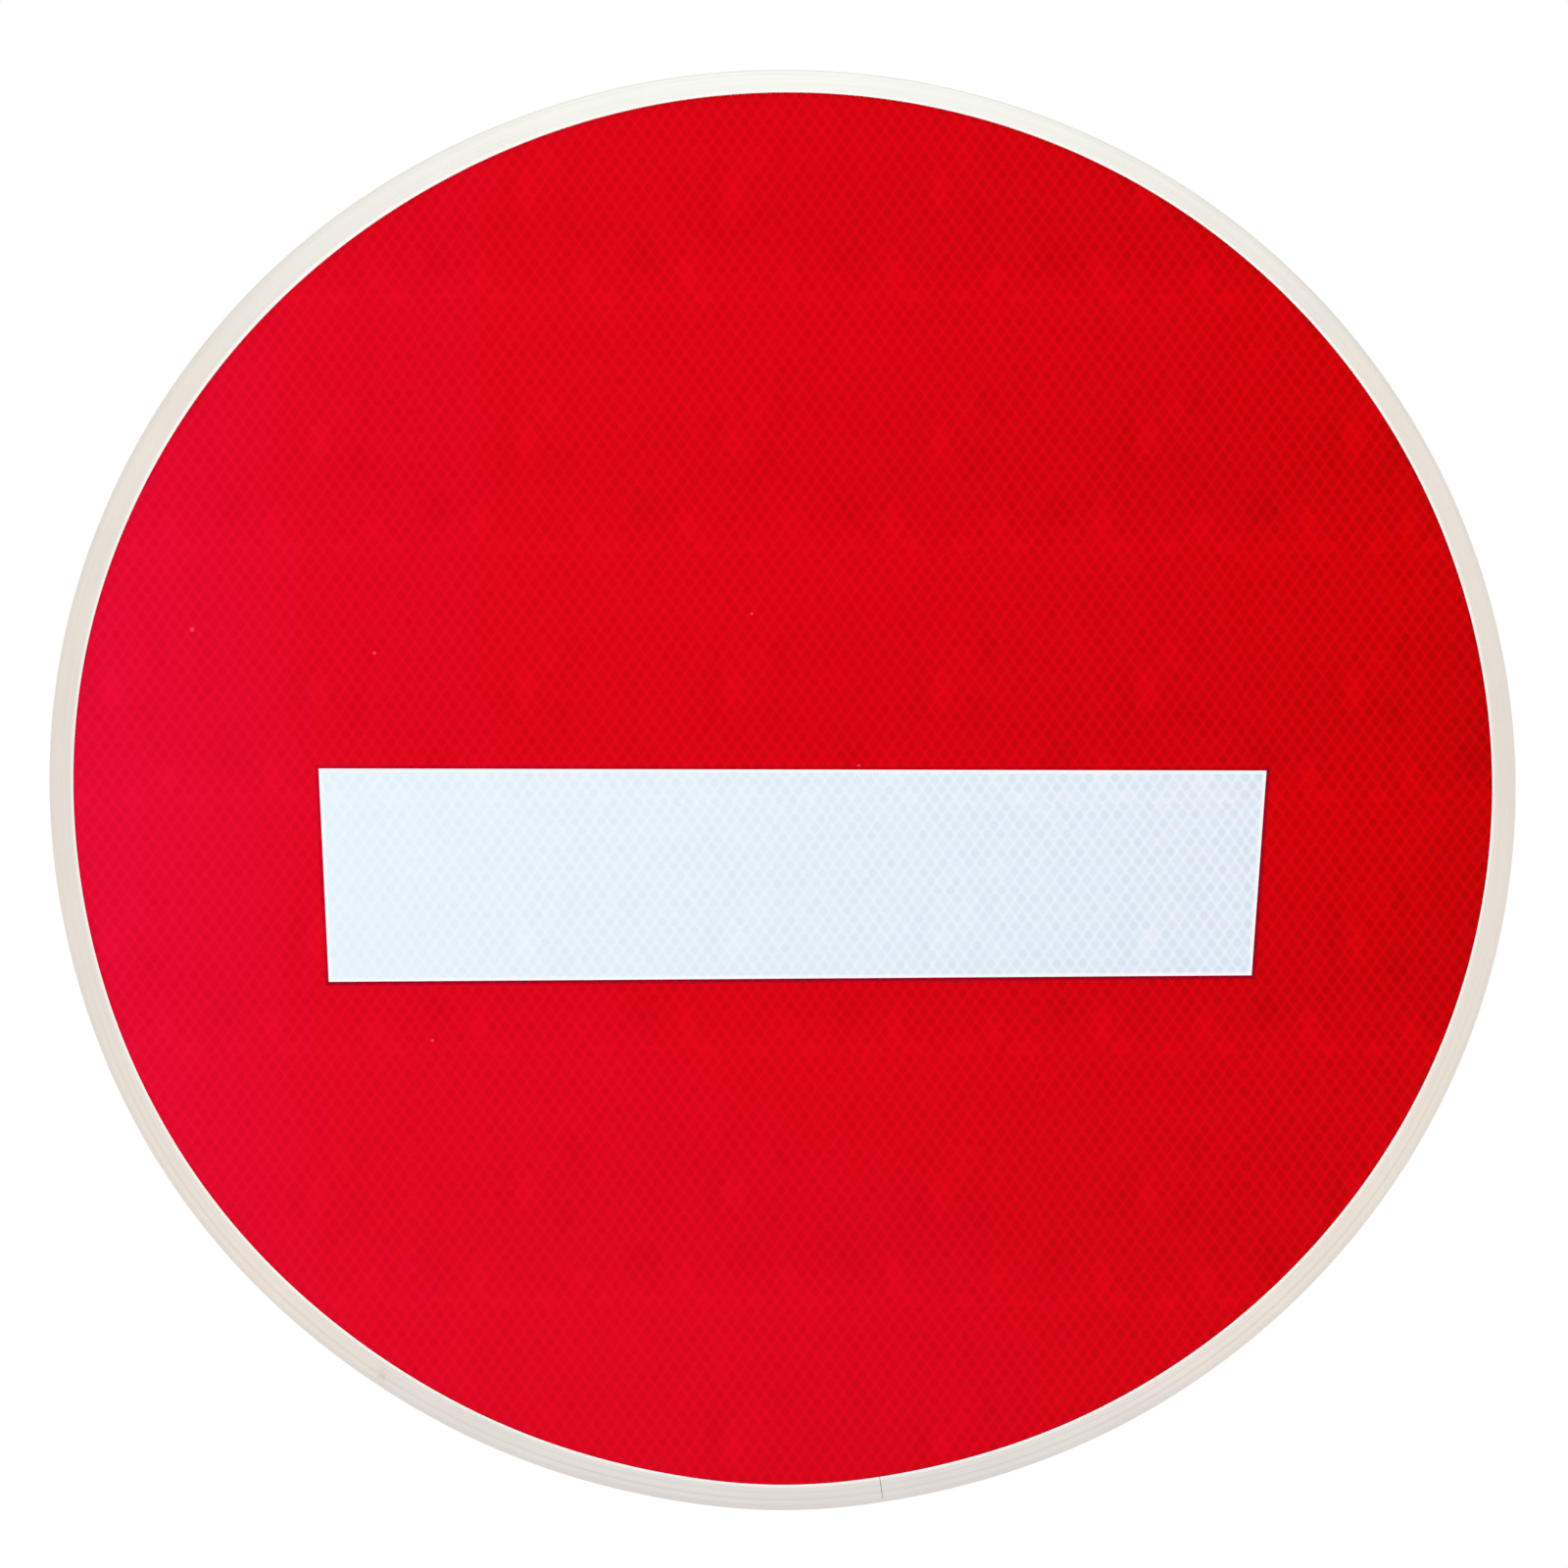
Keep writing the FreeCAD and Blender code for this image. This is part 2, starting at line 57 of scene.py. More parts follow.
class Wire:
    """A value on its way through a material's nodes. Sums and products of it add their own Math nodes."""

    def __init__(self, tree, socket):
        self.tree = tree
        self.socket = socket

    def node(self, kind, settings=None, inputs=None, output=0):
        """Adds any other node: its settings first, then the values or links of its sockets."""
        added = self.tree.nodes.new(kind)
        for name, setting in (settings or {}).items():
            if name == "stops":
                set_stops(added.color_ramp, setting)
            else:
                setattr(added, name, setting)
        for name, entry in (inputs or {}).items():
            if isinstance(entry, Wire):
                self.tree.links.new(entry.socket, added.inputs[name])
            else:
                added.inputs[name].default_value = entry
        return Wire(self.tree, added.outputs[output])

    def maths(self, operation, *entries):
        return self.node("ShaderNodeMath", {"operation": operation}, dict(enumerate(entries)))

    def __add__(self, other):
        return self.maths("ADD", self, other)

    def __radd__(self, other):
        return self.maths("ADD", other, self)

    def __sub__(self, other):
        return self.maths("SUBTRACT", self, other)

    def __rsub__(self, other):
        return self.maths("SUBTRACT", other, self)

    def __mul__(self, other):
        return self.maths("MULTIPLY", self, other)

    def __rmul__(self, other):
        return self.maths("MULTIPLY", other, self)

    def __truediv__(self, other):
        return self.maths("DIVIDE", self, other)

    def __pow__(self, other):
        return self.maths("POWER", self, other)

    def __abs__(self):
        return self.maths("ABSOLUTE", self)

    def part(self, axis):
        """One of a vector's three numbers."""
        return self.node("ShaderNodeSeparateXYZ", inputs={0: self}, output="XYZ".index(axis))

    def spread(self, across, deep, up):
        """The same place with each of its three numbers multiplied, to stretch a pattern."""
        return self.node("ShaderNodeVectorMath", {"operation": "MULTIPLY"}, {0: self, 1: (across, deep, up)})

    def noise(self, per_mm, detail=3.0, roughness=0.55):
        """Soft random patches with this many to a millimetre, from 0 to 1."""
        return self.node("ShaderNodeTexNoise", {"noise_dimensions": "3D"},
                         {"Vector": self, "Scale": per_mm, "Detail": detail, "Roughness": roughness})

    def rise(self, low, high):
        """0 below the low value, 1 above the high one, and a smooth step between."""
        return self.node("ShaderNodeMapRange", {"interpolation_type": "SMOOTHSTEP"},
                         {"Value": self, "From Min": low, "From Max": high})

    def spot(self, across, up, half_width, half_height, level=1.0):
        """A soft oval patch round a place on the face: this level in its middle and 0 at its edge."""
        apart = self.node("ShaderNodeVectorMath", {"operation": "MULTIPLY_ADD"},
                          {0: self, 1: (1 / half_width, 0, 1 / half_height),
                           2: (-across / half_width, 0, -up / half_height)})
        distance = apart.node("ShaderNodeVectorMath", {"operation": "LENGTH"}, {0: apart}, output="Value")
        return distance.node("ShaderNodeMapRange", {"interpolation_type": "SMOOTHSTEP"},
                             {"Value": distance, "From Min": 1.0, "From Max": 0.2, "To Max": level})

    def beyond(self, start, end):
        """How far a place on the face lies outside a straight edge, whose corners run clockwise."""
        along = (Vector(end) - Vector(start)).normalized()
        level = self.node("ShaderNodeVectorMath", {"operation": "DOT_PRODUCT"},
                          {0: self, 1: (-along.y, 0, along.x)}, output="Value")
        return level + (along.y * start[0] - along.x * start[1])

    def colours(self, first, second):
        """The first colour where this is 0 and the second where it is 1."""
        return self.node("ShaderNodeMix", {"data_type": "RGBA"}, {"Factor": self, 6: first, 7: second},
                         output=2)

    def ramp(self, *stops):
        """A colour for each share from 0 to 1, by way of the stops."""
        return self.node("ShaderNodeValToRGB", {"stops": stops}, {"Fac": self})

    def feeds(self, shader, name):
        self.tree.links.new(self.socket, shader.inputs[name])

    def dents(self, shader, depth):
        """Turns a height from 0 to 1 into bumps this many millimetres deep."""
        self.node("ShaderNodeBump", inputs={"Height": self, "Distance": depth * MM}).feeds(shader, "Normal")


def set_stops(ramp, stops):
    """Gives a colour ramp these stops, each a share and its colour."""
    while len(ramp.elements) > 1:
        ramp.elements.remove(ramp.elements[-1])
    ramp.elements[0].position = stops[0][0]
    ramp.elements[0].color = stops[0][1]
    for share, colour in stops[1:]:
        ramp.elements.new(share).color = colour


def shade(*levels):
    """A colour written by its screen levels, 0 to 255, for a colour socket."""
    shares = [level / 255 for level in levels]
    light = [share / 12.92 if share < 0.04 else ((share + 0.055) / 1.055) ** 2.4 for share in shares]
    return tuple(light) + (1,)


def grey(level):
    """A plain grey for a colour socket, by its share of white light."""
    return (level, level, level, 1)


def new_finish(name, metallic, roughness):
    """Starts a material. Gives it with its shader and the place on the piece, in millimetres."""
    finish = bpy.data.materials.new(name)
    finish.use_nodes = True
    shader = finish.node_tree.nodes["Principled BSDF"]
    shader.inputs["Metallic"].default_value = metallic
    shader.inputs["Roughness"].default_value = roughness
    metres = Wire(finish.node_tree, finish.node_tree.nodes.new("ShaderNodeTexCoord").outputs["Object"])
    place = metres.node("ShaderNodeVectorMath", {"operation": "SCALE"}, {0: metres, "Scale": 1 / MM})
    return finish, shader, place


def dress(node, finish):
    """Gives a CAD node its finish."""
    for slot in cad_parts[node].material_slots:
        slot.material = finish


rolled_sheet, shader, place = new_finish("rolled_sheet", 1.0, 0.4)
rolling = place.spread(0.012, 1, 1.6).noise(1.0, detail=4)
clouds = place.noise(0.018, detail=2)
scratch_path = place.node("ShaderNodeVectorRotate", {"rotation_type": "Y_AXIS"},
                          {"Vector": place, "Angle": 0.5})
scratches = scratch_path.spread(0.02, 1, 2.4).noise(1.0, detail=1).rise(0.71, 0.76)
sheet_tone = rolling * 0.6 + clouds * 0.4
sheet_tone.rise(0.3, 0.7).colours(shade(193, 194, 196), shade(212, 213, 214)).feeds(shader, "Base Color")
(0.34 + 0.12 * rolling + 0.1 * clouds - 0.1 * scratches).feeds(shader, "Roughness")
(rolling - 0.5 * scratches).dents(shader, 0.012)
dress("sign_plate", rolled_sheet)

# The rails are two lengths of aluminium channel, pressed through a die, which leaves fine lines along them.
# Their flanges lie on the plate, and their slots take the bolts of the post's clamps. The strip behind the
# rim's joint is cut from the same metal.
drawn_metal, shader, place = new_finish("drawn_metal", 1.0, 0.38)
die_lines = place.spread(0.004, 2.2, 2.2).noise(1.0, detail=5, roughness=0.65)
broad_lines = place.spread(0.002, 0.35, 0.35).noise(1.0, detail=2)
blotches = place.noise(0.03, detail=3)
metal_tone = die_lines * 0.5 + broad_lines * 0.3 + blotches * 0.2
metal_tone.rise(0.35, 0.65).colours(shade(186, 187, 189), shade(211, 211, 210)).feeds(shader, "Base Color")
(0.28 + 0.2 * die_lines + 0.08 * blotches).feeds(shader, "Roughness")
die_lines.dents(shader, 0.02)
for name in ("upper_rail", "lower_rail", "joint_splice"):
    dress(name, drawn_metal)

# The rivets are solid aluminium, four to a rail: a countersunk head flush in the plate, under the film, and a
# round head that was formed behind on the rail's flange, a little dimpled by the tool.
plate_low, plate_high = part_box("sign_plate")
PLATE_FRONT = plate_low.y / MM
PLATE_BACK = plate_high.y / MM
FLANGE_THICK = 2.5
TAIL_SEAT = PLATE_BACK + FLANGE_THICK
SUNK_RADIUS = 4.45
SUNK_DEPTH = 1.21
RIVET_RADIUS = 2.35
RIVET_SIDE = [(0, PLATE_FRONT), (SUNK_RADIUS, PLATE_FRONT), (RIVET_RADIUS, PLATE_FRONT + SUNK_DEPTH),
              (RIVET_RADIUS, TAIL_SEAT),
              (3.72, TAIL_SEAT), (3.96, TAIL_SEAT + 0.3), (4.0, TAIL_SEAT + 0.7), (3.98, TAIL_SEAT + 1.2),
              (3.85, TAIL_SEAT + 1.65), (3.55, TAIL_SEAT + 2.0), (3.05, TAIL_SEAT + 2.25),
              (2.4, TAIL_SEAT + 2.37), (1.5, TAIL_SEAT + 2.38), (0.9, TAIL_SEAT + 2.3), (0, TAIL_SEAT + 2.24)]


def turned(side, steps):
    """A round mesh about the Y axis in this many steps, from a side view of radius and depth points."""
    work = bmesh.new()
    points = [work.verts.new((radius * MM, deep * MM, 0)) for radius, deep in side]
    edges = [work.edges.new(pair) for pair in zip(points, points[1:])]
    bmesh.ops.spin(work, geom=points + edges, cent=(0, 0, 0), axis=(0, 1, 0), dvec=(0, 0, 0),
                   angle=2 * math.pi, steps=steps, use_merge=True, use_normal_flip=False, use_duplicate=False)
    bmesh.ops.remove_doubles(work, verts=work.verts, dist=0.001 * MM)
    bmesh.ops.recalc_face_normals(work, faces=work.faces)
    return work


def repeat(work, places):
    """Puts a copy of the mesh at every place, and none where it was."""
    first_corners = work.verts[:]
    first = first_corners + work.edges[:] + work.faces[:]
    for place in places:
        copy = bmesh.ops.duplicate(work, geom=first)["geom"]
        corners = [item for item in copy if isinstance(item, bmesh.types.BMVert)]
        bmesh.ops.translate(work, verts=corners, vec=place)
    bmesh.ops.delete(work, geom=first_corners, context="VERTS")


def new_piece(name, work, finish, sharp=35):
    """Makes a mesh into a piece of the sign, smooth but for edges sharper than this many degrees."""
    mesh = bpy.data.meshes.new(name)
    work.to_mesh(mesh)
    work.free()
    mesh.shade_smooth()
    mesh.set_sharp_from_angle(angle=math.radians(sharp))
    mesh.materials.append(finish)
    piece = bpy.data.objects.new(name, mesh)
    bpy.context.scene.collection.objects.link(piece)
    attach(piece, "root")
    return piece


formed_metal, shader, place = new_finish("formed_metal", 1.0, 0.34)
dimples = place.noise(0.9, detail=3)
tool_marks = place.noise(0.25, detail=1)
tool_marks.rise(0.35, 0.65).colours(shade(188, 188, 190), shade(214, 214, 214)).feeds(shader, "Base Color")
(0.26 + 0.2 * dimples).feeds(shader, "Roughness")
dimples.dents(shader, 0.08)
for rail in ("upper_rail", "lower_rail"):
    low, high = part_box(rail + "_rivets")
    middle = (low + high) / 2
    out = high - middle - Vector((SUNK_RADIUS * MM, 0, SUNK_RADIUS * MM))
    places = [(side * out.x, 0, middle.z + row * out.z) for side in (-1, 1) for row in (-1, 1)]
    rivet = turned(RIVET_SIDE, steps=40)
    repeat(rivet, places)
    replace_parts(new_piece(rail + "_formed_rivets", rivet, formed_metal), rail + "_rivets")

# The red film is a reflective sheet of tiny prisms, sealed in a net of diamonds about 5 by 8 mm: soft light
# lines round darker round cells. It was cast in tiles, where the net jumps a little and the same faint marks
# come again. It is stuck to the plate, and a shadow is painted on it along the bar's edge, where the bar
# steps up.
SIGN_RADIUS = 300.0

# Its diamonds lie in rows two ways: the rows to a millimetre across and up, and then the millimetres from one
# diamond to the next, each first one way and then the other.
NET_ACROSS = (0.1913, 0.1881)
NET_UP = (-0.1259, 0.1345)
CELL_STEP_FIRST = (2.722, -3.807)
CELL_STEP_SECOND = (2.548, 3.872)
CELL_HALF_WIDTH = 2.05
CELL_HALF_HEIGHT = 2.5
TILE_WIDTH = 84.6
TILE_HEIGHT = 104.5
TILE_LEFT = -66.0
TILE_FOOT = -7.8

# Soft marks in each tile: how far from its left side and its foot, half the width and height, and how light.
TILE_MARKS = [
    (26.5, 12.3, 5.6, 11, 1.0), (34.0, 3.2, 6.5, 4.0, 0.9), (54.3, 2.6, 6.5, 4.6, 0.7),
    (68.4, 11.2, 5.8, 9, 0.85), (77.4, 2.6, 6.5, 4.2, 0.9), (13.0, 3.4, 9, 2.2, 0.5),
    (45.5, 47.9, 6, 12, 0.9), (55.0, 61, 6.5, 9, 0.4), (65.0, 64.5, 5, 12, -0.45),
    (61.0, 38.5, 7.5, 10, -0.45), (37.0, 48, 5, 20, -0.35), (9.0, 19, 10, 11, -0.5)]
MARK_STRENGTH = 0.75


def film_net(place, seed):
    """Gives the share of cell and of line at a spot, a tone for its cell, and how light the film is there."""
    across, up = place.part("X"), place.part("Z")
    tiles_across = (across - TILE_LEFT) / TILE_WIDTH
    tiles_up = (up - TILE_FOOT) / TILE_HEIGHT
    tile = across.node("ShaderNodeCombineXYZ", inputs={0: across.maths("FLOOR", tiles_across),
                                                      1: across.maths("FLOOR", tiles_up), 2: seed})
    jump = tile.node("ShaderNodeTexWhiteNoise", {"noise_dimensions": "3D"}, {"Vector": tile})
    first = across * NET_ACROSS[0] + up * NET_UP[0] + jump * 0.3 + seed * 0.37
    second = across * NET_ACROSS[1] + up * NET_UP[1] + jump * 0.2 + seed * 0.21
    off_first = first.maths("FRACT", first) - 0.5
    off_second = second.maths("FRACT", second) - 0.5
    off_across = off_first * CELL_STEP_FIRST[0] + off_second * CELL_STEP_SECOND[0]
    off_up = off_first * CELL_STEP_FIRST[1] + off_second * CELL_STEP_SECOND[1]
    from_middle = ((off_across / CELL_HALF_WIDTH) ** 2 + (off_up / CELL_HALF_HEIGHT) ** 2) ** 0.5
    cell = 1 - from_middle.rise(0.4, 1.2)
    line = first.maths("MAXIMUM", abs(off_first), abs(off_second)).rise(0.34, 0.5)
    own = first.node("ShaderNodeCombineXYZ", inputs={0: first.maths("FLOOR", first),
                                                     1: first.maths("FLOOR", second), 2: seed})
    tone = own.node("ShaderNodeTexWhiteNoise", {"noise_dimensions": "3D"}, {"Vector": own})
    share_up = tiles_up.maths("FRACT", tiles_up)
    in_tile = share_up.node("ShaderNodeCombineXYZ", inputs={
        0: tiles_across.maths("FRACT", tiles_across) * TILE_WIDTH, 2: share_up * TILE_HEIGHT})
    lighter = share_up.ramp((0.0, grey(0.69)), (0.12, grey(0.46)), (0.28, grey(0.34)), (0.7, grey(0.5)),
                            (1.0, grey(0.61))) - 0.5
    for right, above, half_width, half_height, level in TILE_MARKS:
        lighter = lighter + in_tile.spot(right, above, half_width, half_height, level * MARK_STRENGTH)
    patches = place.spread(1, 0, 0.6).noise(0.05, detail=3, roughness=0.6)
    return cell, line, tone, lighter + 0.5 * (patches - 0.5)


red_film, shader, place = new_finish("red_film", 0.0, 0.4)
shader.inputs["Specular IOR Level"].default_value = 0.02
cell, line, tone, lighter = film_net(place, 1.0)
share_across = (place.part("X") + SIGN_RADIUS) / (2 * SIGN_RADIUS)
# Painted light: the red is painted lighter and bluer at the left and darker toward the right, a painted
# fall-off of the light from the left with a painted sheen where it is brightest.
line_red = share_across.ramp((0.0, shade(241, 10, 60)), (0.2, shade(236, 5, 33)), (0.5, shade(232, 2, 20)),
                             (0.92, shade(225, 0, 6)), (1.0, shade(214, 0, 4)))
cell_red = share_across.ramp((0.0, shade(220, 4, 44)), (0.2, shade(210, 1, 20)), (0.5, shade(200, 0, 8)),
                             (0.92, shade(176, 0, 0)), (1.0, shade(162, 0, 0)))
depth = cell * (0.51 + 0.22 * tone) + 0.3 * (1 - line) * (1 - cell) - 0.42 * lighter
net_red = depth.colours(line_red, cell_red)

# The red turns to a slightly bluer one at its foot. At its far left the bluer tone is a painted sheen.
cooler_foot = (1 - place.part("Z").rise(-240, -20)) * (1 - 0.6 * share_across.rise(0.4, 0.9))
painted_sheen_left = place.spot(-232, -10, 80, 110, 0.7)
net_red = (0.12 * (cooler_foot + painted_sheen_left)).colours(net_red, shade(232, 18, 70))

# Small pale chips: how far across and up, and the size of each.
CHIPS = [(-241.6, 65.1, 1.3), (-167.1, 55.3, 1.0), (-13.0, 71.7, 0.8), (-143.1, -105.9, 0.9),
         (30.7, 8.4, 0.8)]
chipped = sum(place.spot(across, up, size, size, 0.55) for across, up, size in CHIPS)
marked_red = chipped.colours(net_red, shade(255, 96, 120))

# The bar's corners, clockwise from the top left. A painted shadow lies along its edges, stronger at the right
# and the foot, away from the light at the upper left.
BAR_CORNERS = [(-189.8, 7.1), (197.1, 6.2), (190.8, -78.9), (-185.4, -81.6)]
BAR_EDGES = list(zip(BAR_CORNERS, BAR_CORNERS[1:] + BAR_CORNERS[:1]))
outside_bar = [place.beyond(*edge) for edge in BAR_EDGES]
painted_bar_shadow = math.prod(1 - apart.rise(0.7, 2.2) for apart in outside_bar)
shadow_side = place.maths("MAXIMUM", outside_bar[1].rise(-1, 0), outside_bar[2].rise(-1, 0))
(painted_bar_shadow * (0.27 + 0.25 * shadow_side)).colours(marked_red, shade(80, 0, 40)).feeds(shader, "Base Color")
(0.34 + 0.12 * cell).feeds(shader, "Roughness")
(line + 0.3 * lighter).dents(shader, 0.03)
dress("red_sheeting", red_film)

# The bar is a white sheet of the same film, cut out by hand and stuck on the red one. Its net has its own
# place, its cells look slightly bluish, and a painted highlight runs along its edges.
white_film, shader, place = new_finish("white_film", 0.0, 0.4)
shader.inputs["Specular IOR Level"].default_value = 0.2
cell, line, tone, lighter = film_net(place, 2.0)
BAR_REACH = 200.0
share_across = (place.part("X") + BAR_REACH) / (2 * BAR_REACH)
# Painted light: the white is painted a little darker toward the right, a painted fall-off of the light from
# the left.
line_white = share_across.ramp((0.0, shade(239, 250, 255)), (1.0, shade(237, 244, 252)))
cell_white = share_across.ramp((0.0, shade(228, 243, 253)), (1.0, shade(211, 223, 238)))
depth = cell * (0.5 + 0.3 * tone) + 0.25 * (1 - line) * (1 - cell) - 0.3 * lighter
net_white = depth.colours(line_white, cell_white)
painted_edge_highlight = 1 - math.prod(1 - place.beyond(*edge).rise(-2.0, -0.5) for edge in BAR_EDGES)
(0.75 * painted_edge_highlight).colours(net_white, shade(255, 255, 255)).feeds(shader, "Base Color")
(0.34 + 0.12 * cell).feeds(shader, "Roughness")
(line + 0.3 * lighter).dents(shader, 0.03)
dress("bar_sheeting", white_film)

# The rim is an aluminium channel, bent to a ring round the plate's edge. Its front leg falls back a little to
# a round nose, and its ends butt low on the right, where a strip bridges them behind. The die and the bending
# rolls left faint lines along it, and the bending left it a little out of round.
rim_low, rim_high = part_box("edge_profile")
OUTSIDE = rim_high.x / MM
FRONT = rim_low.y / MM
BACK = rim_high.y / MM
NOSE_RADIUS = 2.0
FRONT_DROP = 0.5
LEG_WIDTH = 9.7
LEG_THICK = 1.4
WALL_THICK = 1.4
BACK_WIDTH = 12.0
EDGE_ROUND = 0.35
JOINT_TURN = math.radians(7.75)
JOINT_GAP = 0.2
CROWN_STEPS = 6
NOSE_STEPS = 12
RING_STEPS = 540

# Where it is out of round: the turn in degrees, clockwise from the right, how far out, and how widely spread.
# All of it is drawn in by the farthest of these, so that it stays within the sign's full width.
BENDS = [(90, 1.15, 9), (45, -0.85, 24), (126, -0.75, 14), (192, 1.15, 17), (240, -0.65, 16), (296, 0.95, 32)]
FARTHEST_BEND = 1.15
FLAT_TURN = 230
FLAT_SPREAD = 30
FLATTENED = 2.3


def bent_outward(turn):
    """How far the rim stands out from its circle at a turn in degrees, clockwise from the right."""
    reach = 0
    for middle, height, spread in BENDS:
        apart = (turn - middle + 180) % 360 - 180
        reach += height * math.exp(-(apart / spread) ** 2)
    return reach


def flattened(turn, share):
    """How far the leg was pressed outward high on the left, at a share of the way from its lip."""
    return FLATTENED * share * math.exp(-((turn % 360 - FLAT_TURN) / FLAT_SPREAD) ** 2)


# The channel's side view, as radius and depth: from the lip of its front leg over the crown and the nose to
# the heel behind, and back through the groove that holds the plate.
crown = []
for step in range(CROWN_STEPS + 1):
    share = step / CROWN_STEPS
    width = LEG_WIDTH - EDGE_ROUND - NOSE_RADIUS
    crown.append((OUTSIDE - LEG_WIDTH + EDGE_ROUND + share * width,
                  FRONT + FRONT_DROP * share * (0.4 + 0.6 * share)))
nose = []
for step in range(1, NOSE_STEPS + 1):
    turn = math.radians(90 * step / NOSE_STEPS)
    nose.append((OUTSIDE - NOSE_RADIUS + NOSE_RADIUS * math.sin(turn),
                 FRONT + FRONT_DROP + NOSE_RADIUS * (1 - math.cos(turn))))
heel = [(OUTSIDE, BACK - 0.5), (OUTSIDE - 0.15, BACK - 0.15), (OUTSIDE - 0.5, BACK)]
lip_edge = [(OUTSIDE - LEG_WIDTH, FRONT + EDGE_ROUND), (OUTSIDE - LEG_WIDTH + 0.1, FRONT + 0.1)]
groove = [(OUTSIDE - BACK_WIDTH, BACK), (OUTSIDE - BACK_WIDTH, PLATE_BACK),
          (OUTSIDE - WALL_THICK, PLATE_BACK), (OUTSIDE - WALL_THICK, FRONT + LEG_THICK),
          (OUTSIDE - LEG_WIDTH, FRONT + LEG_THICK)]
RIM_SIDE = lip_edge + crown + nose + heel + groove

# It is spun round from one side of the joint to the other. Each corner keeps its radius from before the ring
# is bent out of round, for the lines that run along the metal.
ring = bmesh.new()
side_radius = ring.verts.layers.float.new("side_radius")
gap_turn = JOINT_GAP / OUTSIDE
start_turn = JOINT_TURN - gap_turn / 2
first_end = [ring.verts.new((radius * math.sin(start_turn) * MM, deep * MM,
                             -radius * math.cos(start_turn) * MM)) for radius, deep in RIM_SIDE]
section = [ring.edges.new((first_end[index - 1], first_end[index])) for index in range(len(first_end))]
spun = bmesh.ops.spin(ring, geom=first_end + section, cent=(0, 0, 0), axis=(0, 1, 0), dvec=(0, 0, 0),
                      angle=2 * math.pi - gap_turn, steps=RING_STEPS, use_merge=False,
                      use_normal_flip=False, use_duplicate=False)
far_edges = [item for item in spun["geom_last"] if isinstance(item, bmesh.types.BMEdge)]
bmesh.ops.edgeloop_fill(ring, edges=section)
bmesh.ops.edgeloop_fill(ring, edges=far_edges)
bmesh.ops.recalc_face_normals(ring, faces=ring.faces)
for corner in ring.verts:
    corner[side_radius] = math.hypot(corner.co.x, corner.co.z) / MM
    turn = math.degrees(math.atan2(-corner.co.z, corner.co.x))
    leg_share = (corner[side_radius] - OUTSIDE + LEG_WIDTH) / LEG_WIDTH
    moved = bent_outward(turn) - FARTHEST_BEND + flattened(turn, max(leg_share, 0))
    grown = 1 + moved / corner[side_radius]
    corner.co.x *= grown
    corner.co.z *= grown

rim_metal, shader, place = new_finish("rim_metal", 1.0, 0.42)
deep, up = place.part("Y"), place.part("Z")
radius = place.node("ShaderNodeAttribute", {"attribute_name": "side_radius"}, output=2)

# The streaks follow the metal round: their place is the way round, and the radius and depth across it.
way_round = place.node("ShaderNodeVectorMath", {"operation": "NORMALIZE"}, {0: place.spread(1, 0, 1)})
track = way_round.node("ShaderNodeVectorMath", {"operation": "SCALE"}, {0: way_round, "Scale": 3.0})
offset = way_round.node("ShaderNodeCombineXYZ", inputs={1: radius * 1.1 + deep * 0.9})
track = track.node("ShaderNodeVectorMath", {"operation": "ADD"}, {0: track, 1: offset})
streaks = track.noise(1.0, detail=4, roughness=0.6)
fine_streaks = track.spread(2, 3.5, 2).noise(1.0, detail=3, roughness=0.6)
smudges = place.noise(0.03, detail=3)
low_part = 1 - up.rise(-180, -30)
rim_tone = streaks * 0.5 + fine_streaks * 0.2 + smudges * 0.3

# The metal is warm grey, and painted nearly white toward the top, a painted reflection of the brighter light
# from above: the share of the height, and its tone.
TONE_SPREAD = 4
RIM_LIT_TONES = [(0.0, (229, 223, 220)), (0.15, (237, 229, 218)), (0.5, (230, 222, 213)), (0.8, (233, 227, 219)),
             (0.93, (240, 238, 230)), (1.0, (245, 247, 241))]
height_share = (up + SIGN_RADIUS) / (2 * SIGN_RADIUS)
dull_rim, bright_rim = [
    height_share.ramp(*[(share, shade(*[level + change for level in tone])) for share, tone in RIM_LIT_TONES])
    for change in (-TONE_SPREAD, TONE_SPREAD)]
marked_rim = rim_tone.rise(0.3, 0.7).colours(dull_rim, bright_rim)

# The nose is painted darker high up, a painted shade against the light it catches there, and the lip is
# painted bright, a painted highlight. Two painted shade lines run low down, and a stain lies there too.
painted_nose_shade = radius.rise(OUTSIDE - 3.2, OUTSIDE - 0.8) * up.rise(-60, 200)
marked_rim = (painted_nose_shade * 0.25).colours(marked_rim, shade(205, 201, 192))
in_front = 1 - deep.rise(FRONT + 1.0, FRONT + 1.3)
# Painted highlight: the lip is painted near white, more so toward the top.
lip = (1 - radius.rise(OUTSIDE - LEG_WIDTH + 0.5, OUTSIDE - LEG_WIDTH + 1.7)) * in_front
marked_rim = (lip * (0.55 + 0.4 * up.rise(0, 220))).colours(marked_rim, shade(255, 255, 253))
# Painted shade: two dark lines are painted along the rim low down.
SHADE_LINES = [(296.4, 0.24), (293.6, 0.12)]
for line_radius, strength in SHADE_LINES:
    shade_line = 1 - abs(radius - line_radius).rise(0.1, 0.6)
    marked_rim = (shade_line * low_part * strength).colours(marked_rim, shade(190, 182, 178))
stain = place.spot(-163.1, -244.6, 4, 4) * place.noise(0.6, detail=2).rise(0.3, 0.7)
marked_rim = (stain * 0.3).colours(marked_rim, shade(176, 160, 140))
behind = deep.rise(FRONT + 2.1, FRONT + 4.3)
(behind * 0.6).colours(marked_rim, shade(204, 204, 204)).feeds(shader, "Base Color")
(0.36 + 0.14 * streaks + 0.06 * smudges).feeds(shader, "Roughness")
(streaks * 0.6 + fine_streaks * 0.4).dents(shader, 0.03)
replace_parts(new_piece("bent_rim", ring, rim_metal, sharp=25), "edge_profile")

